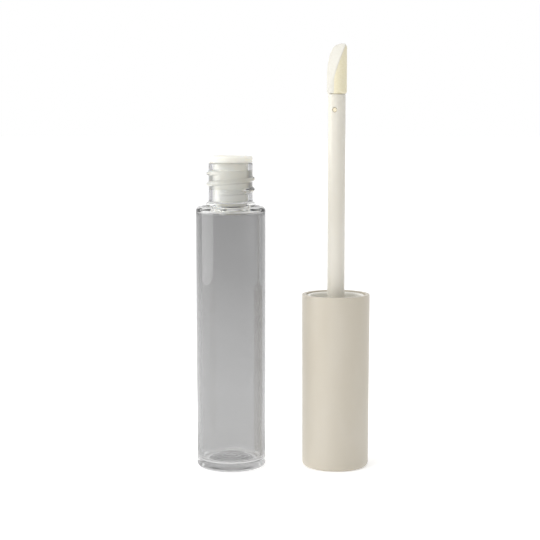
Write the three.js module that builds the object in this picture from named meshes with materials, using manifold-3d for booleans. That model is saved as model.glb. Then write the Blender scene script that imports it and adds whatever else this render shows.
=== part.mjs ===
// A refillable lip gloss tube, opened for use: a clear threaded bottle with its wiper plug,
// and beside it the applicator, stood on the closed end of its cap with the doe-foot tip up.
// Millimetres, +Z up, origin on the table at the middle of the pair.

import * as THREE from "three";
import { mergeVertices } from "three/addons/utils/BufferGeometryUtils.js";
import Module from "manifold-3d";

const wasm = await Module();
wasm.setup();

// ---------------------------------------------------------------- driving dimensions

const BODY_RADIUS = 8.25; // outside of the bottle
const WALL = 1.1; // of the bottle's body
const NECK_WALL = 0.95;
const SHOULDER_Z = 62.4; // top of the body's rounded shoulder
const NECK_RADIUS = 5.22;
const NECK_TOP_Z = 72.6;
const FLANGE_TOP_Z = NECK_TOP_Z + 1.7; // the wiper's flange lies on top of the neck

const THREAD_PITCH = 2.5;
const THREAD_HEIGHT = 0.5;
const THREAD_ZERO_Z = 66.4; // height of the neck thread's crest on the +X side

const CAP_LENGTH = 41.5;
const CAP_OPEN_RADIUS = 8.06;
const CAP_CLOSED_RADIUS = 7.92; // moulding draft narrows the closed end
const CAP_WALL = 1.0;

const ROD_RADIUS = 2.05;
const TIP_RADIUS = 2.3;
const TIP_BASE_Z = 88.8; // where the flocked tip meets the rod, above the closed end of the cap
const TIP_LENGTH = 11.8;

const AXIS_SPACING = 25; // from the bottle's axis to the applicator's
const CLOSED_GAP = 0.55; // cap rim above the shoulder when the tube is screwed shut
const FIT = 0.1; // clearance between pieces that are pressed together
const WASHER_THICKNESS = 0.9;

// Screwed shut, the applicator is turned over onto the bottle: what is at height z in it comes to
// CLOSED_Z - z, and its outside at angle a comes to half a turn less a.
const CLOSED_Z = SHOULDER_Z + CLOSED_GAP + CAP_LENGTH;

// The pair's box is centred on the origin, although the cap is narrower than the bottle.
const BOTTLE_X = (BODY_RADIUS - CAP_OPEN_RADIUS - AXIS_SPACING) / 2;
const CAP_X = BOTTLE_X + AXIS_SPACING;

const ROUND_SEGMENTS = 48;
const SLIM_SEGMENTS = 32;
const ARC_STEPS = 4; // straight steps in each arc or curve of an outline
const TURN = Math.PI * 2;
const degrees = (angle) => (angle * Math.PI) / 180;

// ---------------------------------------------------------------- solids

/** A closed geometry as a manifold-3d solid. */
function solidOf(geometry) {
  const bare = geometry.index ? geometry.toNonIndexed() : geometry.clone();
  bare.deleteAttribute("normal");
  bare.deleteAttribute("uv");
  const merged = mergeVertices(bare, 1e-4);
  return new wasm.Manifold(
    new wasm.Mesh({
      numProp: 3,
      vertProperties: merged.attributes.position.array,
      triVerts: new Uint32Array(merged.index.array),
    }),
  );
}

/** A manifold-3d solid as a three.js geometry. */
function geometryOf(solid) {
  const { vertProperties, triVerts } = solid.getMesh();
  const geometry = new THREE.BufferGeometry();
  geometry.setAttribute("position", new THREE.BufferAttribute(vertProperties, 3));
  geometry.setIndex(new THREE.BufferAttribute(triVerts, 1));
  geometry.computeVertexNormals();
  return geometry;
}

/** An outline of (radius, height) turned about +Z. It runs up the outside and down the inside. */
function turned(outline, segments = ROUND_SEGMENTS) {
  const geometry = new THREE.LatheGeometry(outline.getPoints(ARC_STEPS), segments);
  return geometry.rotateX(Math.PI / 2);
}

/** A bar of the given width and thickness, from one radius to another, stood between two heights. */
function fin(innerRadius, outerRadius, thickness, bottomZ, topZ, angle) {
  const geometry = new THREE.BoxGeometry(outerRadius - innerRadius, thickness, topZ - bottomZ);
  geometry.translate((innerRadius + outerRadius) / 2, 0, (bottomZ + topZ) / 2);
  return solidOf(geometry.rotateZ(angle));
}

/**
 * A helical thread ridge. wall is the radius it grows from and rise its height: below zero it
 * grows inwards. It starts and ends in a run-out, so that the ridge sinks back into the wall.
 */
function threadRidge({ wall, rise, baseWidth, crestWidth, zeroZ, from, to }) {
  const root = 0.3; // buried in the wall, so that the two join
  const runOut = degrees(28);
  const out = Math.sign(rise);
  const section = new THREE.Shape([
    new THREE.Vector2(-root, -baseWidth / 2),
    new THREE.Vector2(0, -baseWidth / 2),
    new THREE.Vector2(Math.abs(rise), -crestWidth / 2),
    new THREE.Vector2(Math.abs(rise), crestWidth / 2),
    new THREE.Vector2(0, baseWidth / 2),
    new THREE.Vector2(-root, baseWidth / 2),
  ]);
  const steps = Math.ceil(((to - from) / TURN) * 36);
  const geometry = new THREE.ExtrudeGeometry(section, { depth: 1, steps, bevelEnabled: false });
  const place = geometry.attributes.position;
  for (let i = 0; i < place.count; i += 1) {
    const angle = from + (to - from) * place.getZ(i);
    const fromEnd = Math.min(angle - from, to - angle);
    const grown = THREE.MathUtils.smoothstep(fromEnd, 0, runOut);
    const height = place.getX(i) > 0 ? place.getX(i) * grown - 0.06 * (1 - grown) : place.getX(i);
    const radius = wall + out * height;
    // The section's own handedness turns round when the ridge grows inwards.
    const z = zeroZ + (THREAD_PITCH * angle) / TURN - out * place.getY(i);
    place.setXYZ(i, radius * Math.cos(angle), radius * Math.sin(angle), z);
  }
  return solidOf(geometry);
}

// ---------------------------------------------------------------- bottle side, on the bottle's axis

/** One-piece blown bottle: pushed-up base, straight body, rounded shoulder, collar and threaded neck. */
function bottle() {
  const heel = 0.9;
  const waist = 0.13; // the blown body draws in a little above the thick heel
  const pushUp = 0.9;
  const ring = 5.7; // inner edge of the ring it stands on
  const floor = 1.5;
  const inside = BODY_RADIUS - WALL;
  const bore = NECK_RADIUS - NECK_WALL;
  const collar = 5.86;
  const collarZ = 62.7;
  const innerHeel = 1.7;

  const outline = new THREE.Path();
  outline.moveTo(0, pushUp);
  outline.quadraticCurveTo(ring * 0.75, pushUp, ring, 0);
  outline.lineTo(BODY_RADIUS - heel, 0);
  outline.absarc(BODY_RADIUS - heel, heel, heel, -Math.PI / 2, 0, false);
  outline.quadraticCurveTo(BODY_RADIUS - 2 * waist, 8, BODY_RADIUS, 20);
  outline.lineTo(BODY_RADIUS, SHOULDER_Z - 1.25);
  outline.quadraticCurveTo(BODY_RADIUS, SHOULDER_Z - 0.1, BODY_RADIUS - 1.0, SHOULDER_Z);
  outline.quadraticCurveTo(collar + 0.2, SHOULDER_Z + 0.35, collar, collarZ);
  outline.lineTo(collar, collarZ + 0.55);
  outline.quadraticCurveTo(NECK_RADIUS + 0.05, collarZ + 0.65, NECK_RADIUS, collarZ + 1.2);
  outline.lineTo(NECK_RADIUS, NECK_TOP_Z - 0.25);
  outline.lineTo(NECK_RADIUS - 0.25, NECK_TOP_Z);
  outline.lineTo(bore + 0.2, NECK_TOP_Z);
  outline.lineTo(bore, NECK_TOP_Z - 0.2);
  outline.lineTo(bore, collarZ);
  outline.quadraticCurveTo(bore, SHOULDER_Z - 0.7, bore + 0.9, SHOULDER_Z - 0.75);
  outline.lineTo(inside - 0.9, SHOULDER_Z - 0.85);
  outline.quadraticCurveTo(inside, SHOULDER_Z - 0.95, inside, SHOULDER_Z - 2.1);
  outline.lineTo(inside, floor + innerHeel);
  outline.absarc(inside - innerHeel, floor + innerHeel, innerHeel, 0, -Math.PI / 2, true);
  outline.quadraticCurveTo(ring * 0.6, floor + pushUp, 0, floor + pushUp);

  const thread = threadRidge({
    wall: NECK_RADIUS,
    rise: THREAD_HEIGHT,
    baseWidth: 1.4,
    crestWidth: 0.35,
    zeroZ: THREAD_ZERO_Z,
    from: degrees(-125),
    to: degrees(615),
  });
  return geometryOf(solidOf(turned(outline)).add(thread));
}

/** Soft wiper plug pressed into the neck: flange, banded barrel, and the lip that strips the rod. */
function wiper() {
  const flange = 5.18;
  const flangeBottom = NECK_TOP_Z + FIT;
  const barrel = NECK_RADIUS - NECK_WALL - 0.15;
  const bore = 3.5;
  const lipRadius = ROD_RADIUS - FIT; // relaxed, the lip is a little smaller than the rod
  const lipZ = NECK_TOP_Z - 11.3;
  const coneZ = lipZ + 2.3;
  const thin = 0.4;
  const band = { lowZ: lipZ + 5.2, highZ: lipZ + 9.6, rise: 0.1 }; // where it grips the neck

  const outline = new THREE.Path();
  outline.moveTo(lipRadius, lipZ);
  outline.lineTo(lipRadius + thin, lipZ);
  outline.lineTo(barrel, coneZ - 0.4);
  outline.lineTo(barrel, band.lowZ - band.rise);
  outline.lineTo(barrel + band.rise, band.lowZ);
  outline.lineTo(barrel + band.rise, band.highZ);
  outline.lineTo(barrel, band.highZ + band.rise);
  outline.lineTo(barrel, flangeBottom);
  outline.lineTo(flange, flangeBottom);
  outline.lineTo(flange, FLANGE_TOP_Z - 0.5);
  outline.quadraticCurveTo(flange, FLANGE_TOP_Z, flange - 0.6, FLANGE_TOP_Z);
  outline.lineTo(bore + 0.45, FLANGE_TOP_Z);
  outline.quadraticCurveTo(bore, FLANGE_TOP_Z, bore, FLANGE_TOP_Z - 0.6);
  outline.lineTo(bore, coneZ);
  outline.lineTo(lipRadius, lipZ + 0.5);
  outline.lineTo(lipRadius, lipZ);
  return turned(outline);
}

// ---------------------------------------------------------------- applicator side, on its own axis
// Heights are above the closed end of the cap, which stands on the table.

/** Outer cap: a drafted shell with inner ribs, which grip the inner cap and stop it at its depth. */
function outerCap() {
  const edge = 1.0;
  const rim = 0.2;
  const endThickness = 1.5;
  const mouth = CAP_OPEN_RADIUS - CAP_WALL;
  const depths = mouth - 0.12;

  const outline = new THREE.Path();
  outline.moveTo(0, 0);
  outline.lineTo(CAP_CLOSED_RADIUS - edge, 0);
  outline.absarc(CAP_CLOSED_RADIUS - edge, edge, edge, -Math.PI / 2, 0, false);
  outline.lineTo(CAP_OPEN_RADIUS, CAP_LENGTH - rim);
  outline.lineTo(CAP_OPEN_RADIUS - rim, CAP_LENGTH);
  outline.lineTo(mouth + rim / 2, CAP_LENGTH);
  outline.lineTo(mouth, CAP_LENGTH - rim / 2);
  outline.lineTo(depths, endThickness + edge);
  outline.quadraticCurveTo(depths, endThickness, depths - edge, endThickness);
  outline.lineTo(0, endThickness);

  const ribTop = INNER_CAP.bottomZ - FIT;
  let shell = solidOf(turned(outline));
  for (let i = 0; i < INNER_CAP.finCount; i += 1) {
    const angle = ((i + 0.5) * TURN) / INNER_CAP.finCount;
    shell = shell.add(fin(depths - 1.1, depths + 0.3, 0.8, endThickness - 0.3, ribTop, angle));
  }
  return geometryOf(shell);
}

const INNER_CAP = {
  topZ: CAP_LENGTH - 0.25, // its skirt stops just short of the outer cap's rim
  ceilingZ: CLOSED_Z - FLANGE_TOP_Z - WASHER_THICKNESS - FIT, // the washer lies against this face
  bottomZ: 18.4,
  finCount: 6,
};

/** Inner cap: the threaded skirt, and behind its ceiling a finned socket that holds the rod. */
function innerCap() {
  const { topZ, ceilingZ, bottomZ, finCount } = INNER_CAP;
  const skirt = CAP_OPEN_RADIUS - CAP_WALL - 0.15;
  const bore = 5.95;
  const socket = 3.5;
  const ceiling = 1.4;
  const rodHole = ROD_RADIUS + FIT;
  const rodEndZ = bottomZ + 1;

  const outline = new THREE.Path();
  outline.moveTo(0, bottomZ);
  outline.lineTo(socket - 0.4, bottomZ);
  outline.lineTo(socket, bottomZ + 0.4);
  outline.lineTo(socket, ceilingZ - ceiling);
  outline.lineTo(skirt - 0.15, ceilingZ - ceiling);
  outline.lineTo(skirt, topZ - 0.3);
  outline.lineTo(skirt - 0.3, topZ);
  outline.lineTo(bore + 0.3, topZ);
  outline.lineTo(bore, topZ - 0.6);
  outline.lineTo(bore, ceilingZ);
  outline.lineTo(rodHole + 0.3, ceilingZ);
  outline.lineTo(rodHole, ceilingZ - 0.3);
  outline.lineTo(rodHole, rodEndZ);
  outline.lineTo(0, rodEndZ);

  // Screwed shut, this ridge runs half a pitch from the neck's, and so lies midway between its turns.
  const thread = threadRidge({
    wall: bore,
    rise: -0.55,
    baseWidth: 0.9,
    crestWidth: 0.3,
    zeroZ: CLOSED_Z - THREAD_ZERO_Z - 2 * THREAD_PITCH,
    from: degrees(-60),
    to: degrees(620),
  });
  let cap = solidOf(turned(outline)).add(thread);
  for (let i = 0; i < finCount; i += 1) {
    const angle = (i * TURN) / finCount;
    cap = cap.add(fin(socket - 0.3, skirt - 0.35, 0.9, bottomZ + 1.2, ceilingZ - ceiling + 0.3, angle));
  }
  return geometryOf(cap);
}

/** Foam washer that seals the inner cap against the wiper's flange. It lies loose round the rod. */
function sealWasher() {
  const bottomZ = INNER_CAP.ceilingZ + 0.05;
  const outline = new THREE.Path();
  outline.moveTo(ROD_RADIUS + 0.3, bottomZ);
  outline.lineTo(5.2, bottomZ);
  outline.lineTo(5.2, bottomZ + WASHER_THICKNESS);
  outline.lineTo(ROD_RADIUS + 0.3, bottomZ + WASHER_THICKNESS);
  outline.lineTo(ROD_RADIUS + 0.3, bottomZ);
  return turned(outline);
}

const SHANK = {
  bore: 1.3,
  depth: 8.5,
  detentZ: TIP_BASE_Z - 3.75,
  detentRadius: 0.6,
  detentAngle: degrees(252),
};

/** A peg of the given radius that points outwards from the axis at the tip's detent. */
function detentPeg(radius, from, to) {
  const geometry = new THREE.CylinderGeometry(radius, radius, to - from, 16);
  geometry.rotateZ(Math.PI / 2);
  geometry.translate((from + to) / 2, 0, 0);
  geometry.rotateZ(SHANK.detentAngle);
  return solidOf(geometry.translate(0, 0, SHANK.detentZ));
}

/** Applicator rod, pressed into the inner cap, with a bore and a side hole that hold the tip. */
function rod() {
  const bottomZ = INNER_CAP.bottomZ + 1 + FIT;
  const topZ = TIP_BASE_Z - FIT;
  const outline = new THREE.Path();
  outline.moveTo(0, bottomZ);
  outline.lineTo(ROD_RADIUS - 0.3, bottomZ);
  outline.lineTo(ROD_RADIUS, bottomZ + 0.3);
  outline.lineTo(ROD_RADIUS, topZ - 0.15);
  outline.lineTo(ROD_RADIUS - 0.15, topZ);
  outline.lineTo(SHANK.bore, topZ);
  outline.lineTo(SHANK.bore, topZ - SHANK.depth);
  outline.lineTo(0, topZ - SHANK.depth);
  const bar = solidOf(turned(outline, SLIM_SEGMENTS));
  return geometryOf(bar.subtract(detentPeg(SHANK.detentRadius, 0, ROD_RADIUS + 1)));
}

/**
 * The doe-foot form, drawn in by inset all over: a round bar whose front is cut away in a full
 * curve up to the tip. It faces -X here, and base is the height that it starts from.
 */
function doeFoot(inset, base) {
  const radius = TIP_RADIUS - inset;
  const top = TIP_LENGTH - inset;
  const nose = 1.2;
  const round = new THREE.Path();
  round.moveTo(0, base);
  round.lineTo(radius - 0.3, base);
  round.lineTo(radius, base + 0.3);
  round.lineTo(radius, top - nose);
  round.absarc(radius - nose, top - nose, nose, 0, Math.PI / 2, false);
  round.lineTo(0, top);

  const side = new THREE.Shape();
  side.moveTo(-radius - 1, base - 1);
  side.lineTo(radius + 1, base - 1);
  side.lineTo(radius + 1, top + 1);
  side.lineTo(1.9, top + 1);
  side.lineTo(1.9, top);
  side.quadraticCurveTo(1.0, top, 0.1 + inset * 0.5, top - 1.5);
  side.quadraticCurveTo(-radius + 0.35, TIP_LENGTH * 0.56, -radius - 0.06, TIP_LENGTH * 0.1);
  side.lineTo(-radius - 1, TIP_LENGTH * 0.1);

  const depth = TIP_RADIUS * 2 + 2;
  const slab = new THREE.ExtrudeGeometry(side, { depth, bevelEnabled: false, curveSegments: 10 });
  slab.translate(0, 0, -depth / 2).rotateX(Math.PI / 2);
  return solidOf(turned(round, SLIM_SEGMENTS)).intersect(solidOf(slab));
}

const FLOCK = { thickness: 0.4, facing: degrees(215 - 180) };

/** Moulded core of the tip: a shank with its snap detent, and a doe-foot head under the flock. */
function tipCore() {
  const shank = SHANK.bore - FIT;
  const outline = new THREE.Path();
  outline.moveTo(0, -SHANK.depth + 0.4);
  outline.lineTo(shank - 0.3, -SHANK.depth + 0.4);
  outline.lineTo(shank, -SHANK.depth + 0.7);
  outline.lineTo(shank, 1);
  outline.lineTo(0, 1);
  const head = doeFoot(FLOCK.thickness + FIT, 0.05);
  const core = head.add(solidOf(turned(outline, SLIM_SEGMENTS)));
  const placed = geometryOf(core).rotateZ(FLOCK.facing).translate(0, 0, TIP_BASE_Z);
  return geometryOf(solidOf(placed).add(detentPeg(SHANK.detentRadius - FIT, 0.5, ROD_RADIUS - 0.2)));
}

/** Flocked skin of the tip, open at the bottom where the core comes in. */
function flockCoat() {
  const skin = doeFoot(0, 0).subtract(doeFoot(FLOCK.thickness, -1));
  return geometryOf(skin).rotateZ(FLOCK.facing).translate(0, 0, TIP_BASE_Z);
}

// ---------------------------------------------------------------- materials and assembly

const finish = {
  clearPlastic: { color: 0xb9bcbc, roughness: 0.05, metalness: 0, transparent: true, opacity: 0.4 },
  wiperPlastic: { color: 0xe6e5de, roughness: 0.45, metalness: 0 },
  ivoryPlastic: { color: 0xddd6c6, roughness: 0.4, metalness: 0 },
  whitePlastic: { color: 0xf1efe8, roughness: 0.35, metalness: 0 },
  foam: { color: 0xf4f3ee, roughness: 0.9, metalness: 0 },
  softCore: { color: 0xeee6cf, roughness: 0.6, metalness: 0 },
  flock: { color: 0xf0e8d0, roughness: 1, metalness: 0 },
};

/** A named piece in its finish. */
function piece(name, geometry, look) {
  const mesh = new THREE.Mesh(geometry, new THREE.MeshStandardMaterial(look));
  mesh.name = name;
  return mesh;
}

const bottleSide = new THREE.Group();
bottleSide.position.x = BOTTLE_X;
bottleSide.add(
  piece("bottle", bottle(), finish.clearPlastic),
  piece("wiper", wiper(), finish.wiperPlastic),
);

const applicatorSide = new THREE.Group();
applicatorSide.position.x = CAP_X;
applicatorSide.add(
  piece("outer_cap", outerCap(), finish.ivoryPlastic),
  piece("inner_cap", innerCap(), finish.whitePlastic),
  piece("seal_washer", sealWasher(), finish.foam),
  piece("rod", rod(), finish.whitePlastic),
  piece("tip_core", tipCore(), finish.softCore),
  piece("flock_coat", flockCoat(), finish.flock),
);

const lipGlossTube = new THREE.Group();
lipGlossTube.add(bottleSide, applicatorSide);

export default lipGlossTube;
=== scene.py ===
"""A refillable lip gloss tube, open for use: the clear bottle, and the applicator stood on its cap.

Lengths are in millimetres up to the point where a mesh is made, and +Z is up.
"""

import logging
from collections.abc import Callable, Iterator, Sequence
from dataclasses import dataclass, field
from enum import Enum
from math import atan2, ceil, cos, degrees, floor, pi, radians, sin, sqrt

import bmesh
import bpy
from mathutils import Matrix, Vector


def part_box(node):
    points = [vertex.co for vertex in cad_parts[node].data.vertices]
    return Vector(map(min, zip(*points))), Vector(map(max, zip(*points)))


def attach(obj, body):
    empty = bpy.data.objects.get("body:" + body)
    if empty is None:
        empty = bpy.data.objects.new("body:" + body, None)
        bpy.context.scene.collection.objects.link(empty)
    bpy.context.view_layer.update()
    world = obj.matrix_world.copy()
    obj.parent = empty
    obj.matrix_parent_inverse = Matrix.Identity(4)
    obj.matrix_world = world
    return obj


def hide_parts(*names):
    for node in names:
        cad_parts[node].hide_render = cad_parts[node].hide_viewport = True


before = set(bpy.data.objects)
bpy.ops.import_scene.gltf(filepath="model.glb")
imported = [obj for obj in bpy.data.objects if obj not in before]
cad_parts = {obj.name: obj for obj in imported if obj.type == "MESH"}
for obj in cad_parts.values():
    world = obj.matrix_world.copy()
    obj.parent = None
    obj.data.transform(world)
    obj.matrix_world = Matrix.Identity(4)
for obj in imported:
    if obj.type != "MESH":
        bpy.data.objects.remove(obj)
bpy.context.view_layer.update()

LOG = logging.getLogger("lip_gloss_tube")
MM = 0.001


# ---------------------------------------------------------------- outlines


@dataclass(frozen=True)
class Ring:
    """One ring of a turned piece: its radius and its height."""

    radius: float
    z: float


def curve(start: Ring, corner: Ring, end: Ring, steps: int) -> list[Ring]:
    """Draw a stretch that leaves towards a corner and arrives from it.

    Args:
        start: Where the stretch begins. It isn't repeated in the result.
        corner: The point that both ends of the stretch aim at.
        end: Where the stretch ends.
        steps: How many rings it is drawn with.

    Returns:
        The rings after start, up to end.
    """
    rings = []
    for step in range(1, steps + 1):
        t = step / steps
        weights = ((1 - t) ** 2, 2 * t * (1 - t), t**2)
        parts = (start, corner, end)
        rings.append(
            Ring(
                sum(w * p.radius for w, p in zip(weights, parts)),
                sum(w * p.z for w, p in zip(weights, parts)),
            )
        )
    return rings


def arc(centre: Ring, radius: float, start: float, end: float, steps: int) -> list[Ring]:
    """Draw a round stretch about a centre.

    Args:
        centre: The middle of the arc.
        radius: Its radius.
        start: The angle it starts at, in degrees, 0 pointing away from the axis and 90 up.
        end: The angle it ends at.
        steps: How many straight steps it has.

    Returns:
        The rings of the arc, both ends among them.
    """
    angles = [radians(start + (end - start) * step / steps) for step in range(steps + 1)]
    return [Ring(centre.radius + radius * cos(a), centre.z + radius * sin(a)) for a in angles]


# ---------------------------------------------------------------- modelling


class Inside(Enum):
    """How the outline of a turned piece ends: on the axis, or back where it began."""

    BLIND = "NGON"
    THROUGH = "NOTHING"


def begin() -> None:
    """Leave edit mode and select nothing, so that the next operator acts on its own piece only."""
    if bpy.context.object and bpy.context.object.mode != "OBJECT":
        bpy.ops.object.mode_set(mode="OBJECT")
    bpy.ops.object.select_all(action="DESELECT")


def activate(piece: bpy.types.Object) -> None:
    """Select one piece and make it the active one."""
    begin()
    piece.select_set(True)
    bpy.context.view_layer.objects.active = piece


def turn(name: str, axis: Vector, rings: list[Ring], inside: Inside, segments: int) -> bpy.types.Object:
    """Model a turned piece: a circle is extruded and scaled, ring by ring, along its outline.

    Args:
        name: The piece's name.
        axis: A point on the axis it is turned about, in metres.
        rings: The outline.
        inside: How the outline ends.
        segments: How many sides the circle has.

    Returns:
        The piece, closed, with its normals outwards.
    """
    begin()
    here = rings[0]
    bpy.ops.mesh.primitive_circle_add(
        vertices=segments,
        radius=here.radius * MM,
        fill_type=inside.value,
        location=(axis.x, axis.y, here.z * MM),
    )
    piece = bpy.context.active_object
    piece.name = name
    piece.data.name = name
    bpy.ops.object.mode_set(mode="EDIT")
    for ring in rings[1:]:
        rise = (ring.z - here.z) * MM
        growth = ring.radius / here.radius
        bpy.ops.mesh.extrude_region_move(TRANSFORM_OT_translate={"value": (0, 0, rise)})
        bpy.ops.transform.resize(
            value=(growth, growth, 1),
            center_override=(axis.x, axis.y, ring.z * MM),
        )
        here = ring
    close_skin()
    settle(piece)
    return piece


def close_skin() -> None:
    """In edit mode, weld the rings that meet and turn all the faces outwards."""
    bpy.ops.mesh.select_all(action="SELECT")
    bpy.ops.mesh.remove_doubles(threshold=0.0005 * MM)
    bpy.ops.mesh.normals_make_consistent(inside=False)
    bpy.ops.object.mode_set(mode="OBJECT")


def settle(piece: bpy.types.Object) -> None:
    """Put a piece's object at the origin, unturned and unscaled, with its place in its mesh."""
    activate(piece)
    bpy.ops.object.transform_apply(location=True, rotation=True, scale=True)


def smooth(piece: bpy.types.Object, angle: float = 32) -> None:
    """Shade a piece smooth, except across edges that turn by more than an angle in degrees."""
    activate(piece)
    bpy.ops.object.shade_smooth_by_angle(angle=radians(angle))


def select_where(piece: bpy.types.Object, wanted: Callable[[Vector, Vector], bool]) -> None:
    """In edit mode, select the edges whose two ends a test wants.

    Args:
        piece: The piece in edit mode.
        wanted: The test, given both ends of an edge.
    """
    bpy.ops.mesh.select_all(action="DESELECT")
    bpy.ops.mesh.select_mode(type="EDGE")
    mesh = bmesh.from_edit_mesh(piece.data)
    for edge in mesh.edges:
        edge.select_set(wanted(edge.verts[0].co, edge.verts[1].co))
    mesh.select_flush_mode()
    bmesh.update_edit_mesh(piece.data)


def apply_modifier(piece: bpy.types.Object, kind: str, settings: dict[str, object]) -> None:
    """Add a modifier to a piece and apply it.

    Args:
        piece: The piece.
        kind: Blender's name for the modifier.
        settings: The modifier's properties.
    """
    activate(piece)
    modifier = piece.modifiers.new(kind.lower(), kind)
    for setting, value in settings.items():
        setattr(modifier, setting, value)
    bpy.ops.object.modifier_apply(modifier=modifier.name)


def join_solid(piece: bpy.types.Object, other: bpy.types.Object, operation: str = "UNION") -> None:
    """Join another solid to a piece, or cut it away, and delete the other one.

    Args:
        piece: The piece that is kept.
        other: The solid that is joined or cut.
        operation: UNION, DIFFERENCE or INTERSECT.
    """
    settings = {"operation": operation, "object": other, "solver": "EXACT"}
    apply_modifier(piece, "BOOLEAN", settings)
    bpy.data.objects.remove(other)


def fin(axis: Vector, start: Ring, end: Ring, width: float, angle: float) -> bpy.types.Object:
    """Model a radial fin: a block with the edges of its top rounded.

    Args:
        axis: A point on the axis that the fin points away from, in metres.
        start: The radius where it starts and the height of its bottom.
        end: The radius where it ends and the height of its top.
        width: Its thickness.
        angle: The way it points, in degrees.

    Returns:
        The fin.
    """
    begin()
    middle = Ring((start.radius + end.radius) / 2, (start.z + end.z) / 2)
    bpy.ops.mesh.primitive_cube_add(size=1, location=(middle.radius * MM, 0, middle.z * MM))
    block = bpy.context.active_object
    block.scale = ((end.radius - start.radius) * MM, width * MM, (end.z - start.z) * MM)
    settle(block)
    bpy.ops.object.mode_set(mode="EDIT")
    select_where(block, lambda a, b: min(a.z, b.z) > middle.z * MM)
    bpy.ops.mesh.bevel(offset=0.15 * MM, segments=3)
    bpy.ops.object.mode_set(mode="OBJECT")
    block.rotation_euler.z = radians(angle)
    block.location = (axis.x, axis.y, 0)
    settle(block)
    return block


# ---------------------------------------------------------------- screw threads


@dataclass(frozen=True)
class Thread:
    """A right-handed screw thread, drawn out of the wall of a finely ringed stretch of a piece."""

    pitch: float
    rise: float  # how far it stands off the wall; below zero on an inside wall
    base_width: float
    crest_width: float
    zero_z: float  # height of the crest on the +X side
    start: float  # in degrees from +X
    end: float
    run_out: float = 30  # degrees over which each end sinks back into the wall

    def crest_z(self, angle: float) -> float:
        """Height of the crest at an angle in degrees."""
        return self.zero_z + self.pitch * angle / 360

    def low(self) -> float:
        """Height below which the thread doesn't reach."""
        return self.crest_z(self.start) - self.base_width

    def high(self) -> float:
        """Height above which the thread doesn't reach."""
        return self.crest_z(self.end) + self.base_width

    def weight(self, angle: float, z: float) -> float:
        """How far the thread stands out at a place on the wall.

        Args:
            angle: The place's angle, in degrees from +X.
            z: Its height.

        Returns:
            From 0, on the plain wall, to 1, on the crest.
        """
        most = 0.0
        for lap in range(floor(self.start / 360) - 1, ceil(self.end / 360) + 1):
            along = angle + 360 * lap
            from_end = min(along - self.start, self.end - along)
            if from_end <= 0:
                continue
            off = abs(z - self.crest_z(along)) - self.crest_width / 2
            flank = (self.base_width - self.crest_width) / 2
            most = max(most, ease(1 - off / flank) * ease(from_end / self.run_out))
        return most

    def draw_out(self, piece: bpy.types.Object, axis: Vector, wall: float) -> None:
        """Raise the thread on a piece.

        Args:
            piece: The piece. Its rings are close together where the thread goes.
            axis: A point on its axis, in metres.
            wall: Radius of the wall that the thread grows from.
        """
        group = piece.vertex_groups.new(name="thread")
        for vertex in piece.data.vertices:
            x, y = vertex.co.x - axis.x, vertex.co.y - axis.y
            z = vertex.co.z / MM
            if not self.low() < z < self.high() or abs(sqrt(x * x + y * y) / MM - wall) > 0.02:
                continue
            weight = self.weight(degrees(atan2(y, x)) % 360, z)
            if weight > 0:
                group.add([vertex.index], weight, "REPLACE")
        settings = {"strength": abs(self.rise) * MM, "mid_level": 0, "vertex_group": "thread"}
        apply_modifier(piece, "DISPLACE", settings)
        piece.vertex_groups.clear()


def ease(share: float) -> float:
    """Turn a straight rise from 0 to 1 into one that starts and ends gently."""
    share = min(max(share, 0.0), 1.0)
    return share * share * (3 - 2 * share)


def upright(start: Ring, end: Ring, spacing: float) -> list[Ring]:
    """Draw a straight wall with many rings, close enough for a thread to be raised on it.

    Args:
        start: Where the wall begins. It isn't repeated in the result.
        end: Where it ends.
        spacing: The most there may be between two rings.

    Returns:
        The rings after start, up to end.
    """
    steps = ceil(abs(end.z - start.z) / spacing)
    return [
        Ring(
            start.radius + (end.radius - start.radius) * step / steps,
            start.z + (end.z - start.z) * step / steps,
        )
        for step in range(1, steps + 1)
    ]


# ---------------------------------------------------------------- material nodes


def linear(colour: str) -> tuple[float, float, float, float]:
    """Turn an sRGB hex colour into linear light.

    Args:
        colour: Such as "#dfd8c6".

    Returns:
        Red, green, blue and an alpha of 1.
    """
    parts = [int(colour[i : i + 2], 16) / 255 for i in (1, 3, 5)]
    red, green, blue = (p / 12.92 if p <= 0.04045 else ((p + 0.055) / 1.055) ** 2.4 for p in parts)
    return red, green, blue, 1.0


def add_node(
    tree: bpy.types.NodeTree,
    kind: str,
    settings: dict[str, object] | None = None,
    inputs: dict[str | int, object] | None = None,
) -> bpy.types.Node:
    """Add a node with its settings and links.

    Args:
        tree: The node tree it goes in.
        kind: The node's type.
        settings: Its properties.
        inputs: Its sockets, by name or number: a value for each, or the output that it is linked to.

    Returns:
        The node.
    """
    node = tree.nodes.new(kind)
    for setting, value in (settings or {}).items():
        setattr(node, setting, value)
    for socket, value in (inputs or {}).items():
        if isinstance(value, bpy.types.NodeSocket):
            tree.links.new(value, node.inputs[socket])
        else:
            node.inputs[socket].default_value = value
    return node


def new_material(name: str) -> tuple[bpy.types.Material, bpy.types.NodeTree, bpy.types.Node]:
    """Start a material with only an output in it.

    Args:
        name: The material's name.

    Returns:
        The material, its node tree, and its output node.
    """
    material = bpy.data.materials.new(name)
    material.use_nodes = True
    material.node_tree.nodes.clear()
    output = add_node(material.node_tree, "ShaderNodeOutputMaterial")
    return material, material.node_tree, output


def set_stops(ramp: bpy.types.Node, stops: Sequence[tuple[float, str]]) -> None:
    """Set the colours of a colour ramp.

    Args:
        ramp: The ramp's node.
        stops: Place from 0 to 1, and sRGB hex colour, of each stop, in order.
    """
    elements = ramp.color_ramp.elements
    while len(elements) < len(stops):
        elements.new(1)
    for element, (place, colour) in zip(elements, stops):
        element.position = place
        element.color = linear(colour)


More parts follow.
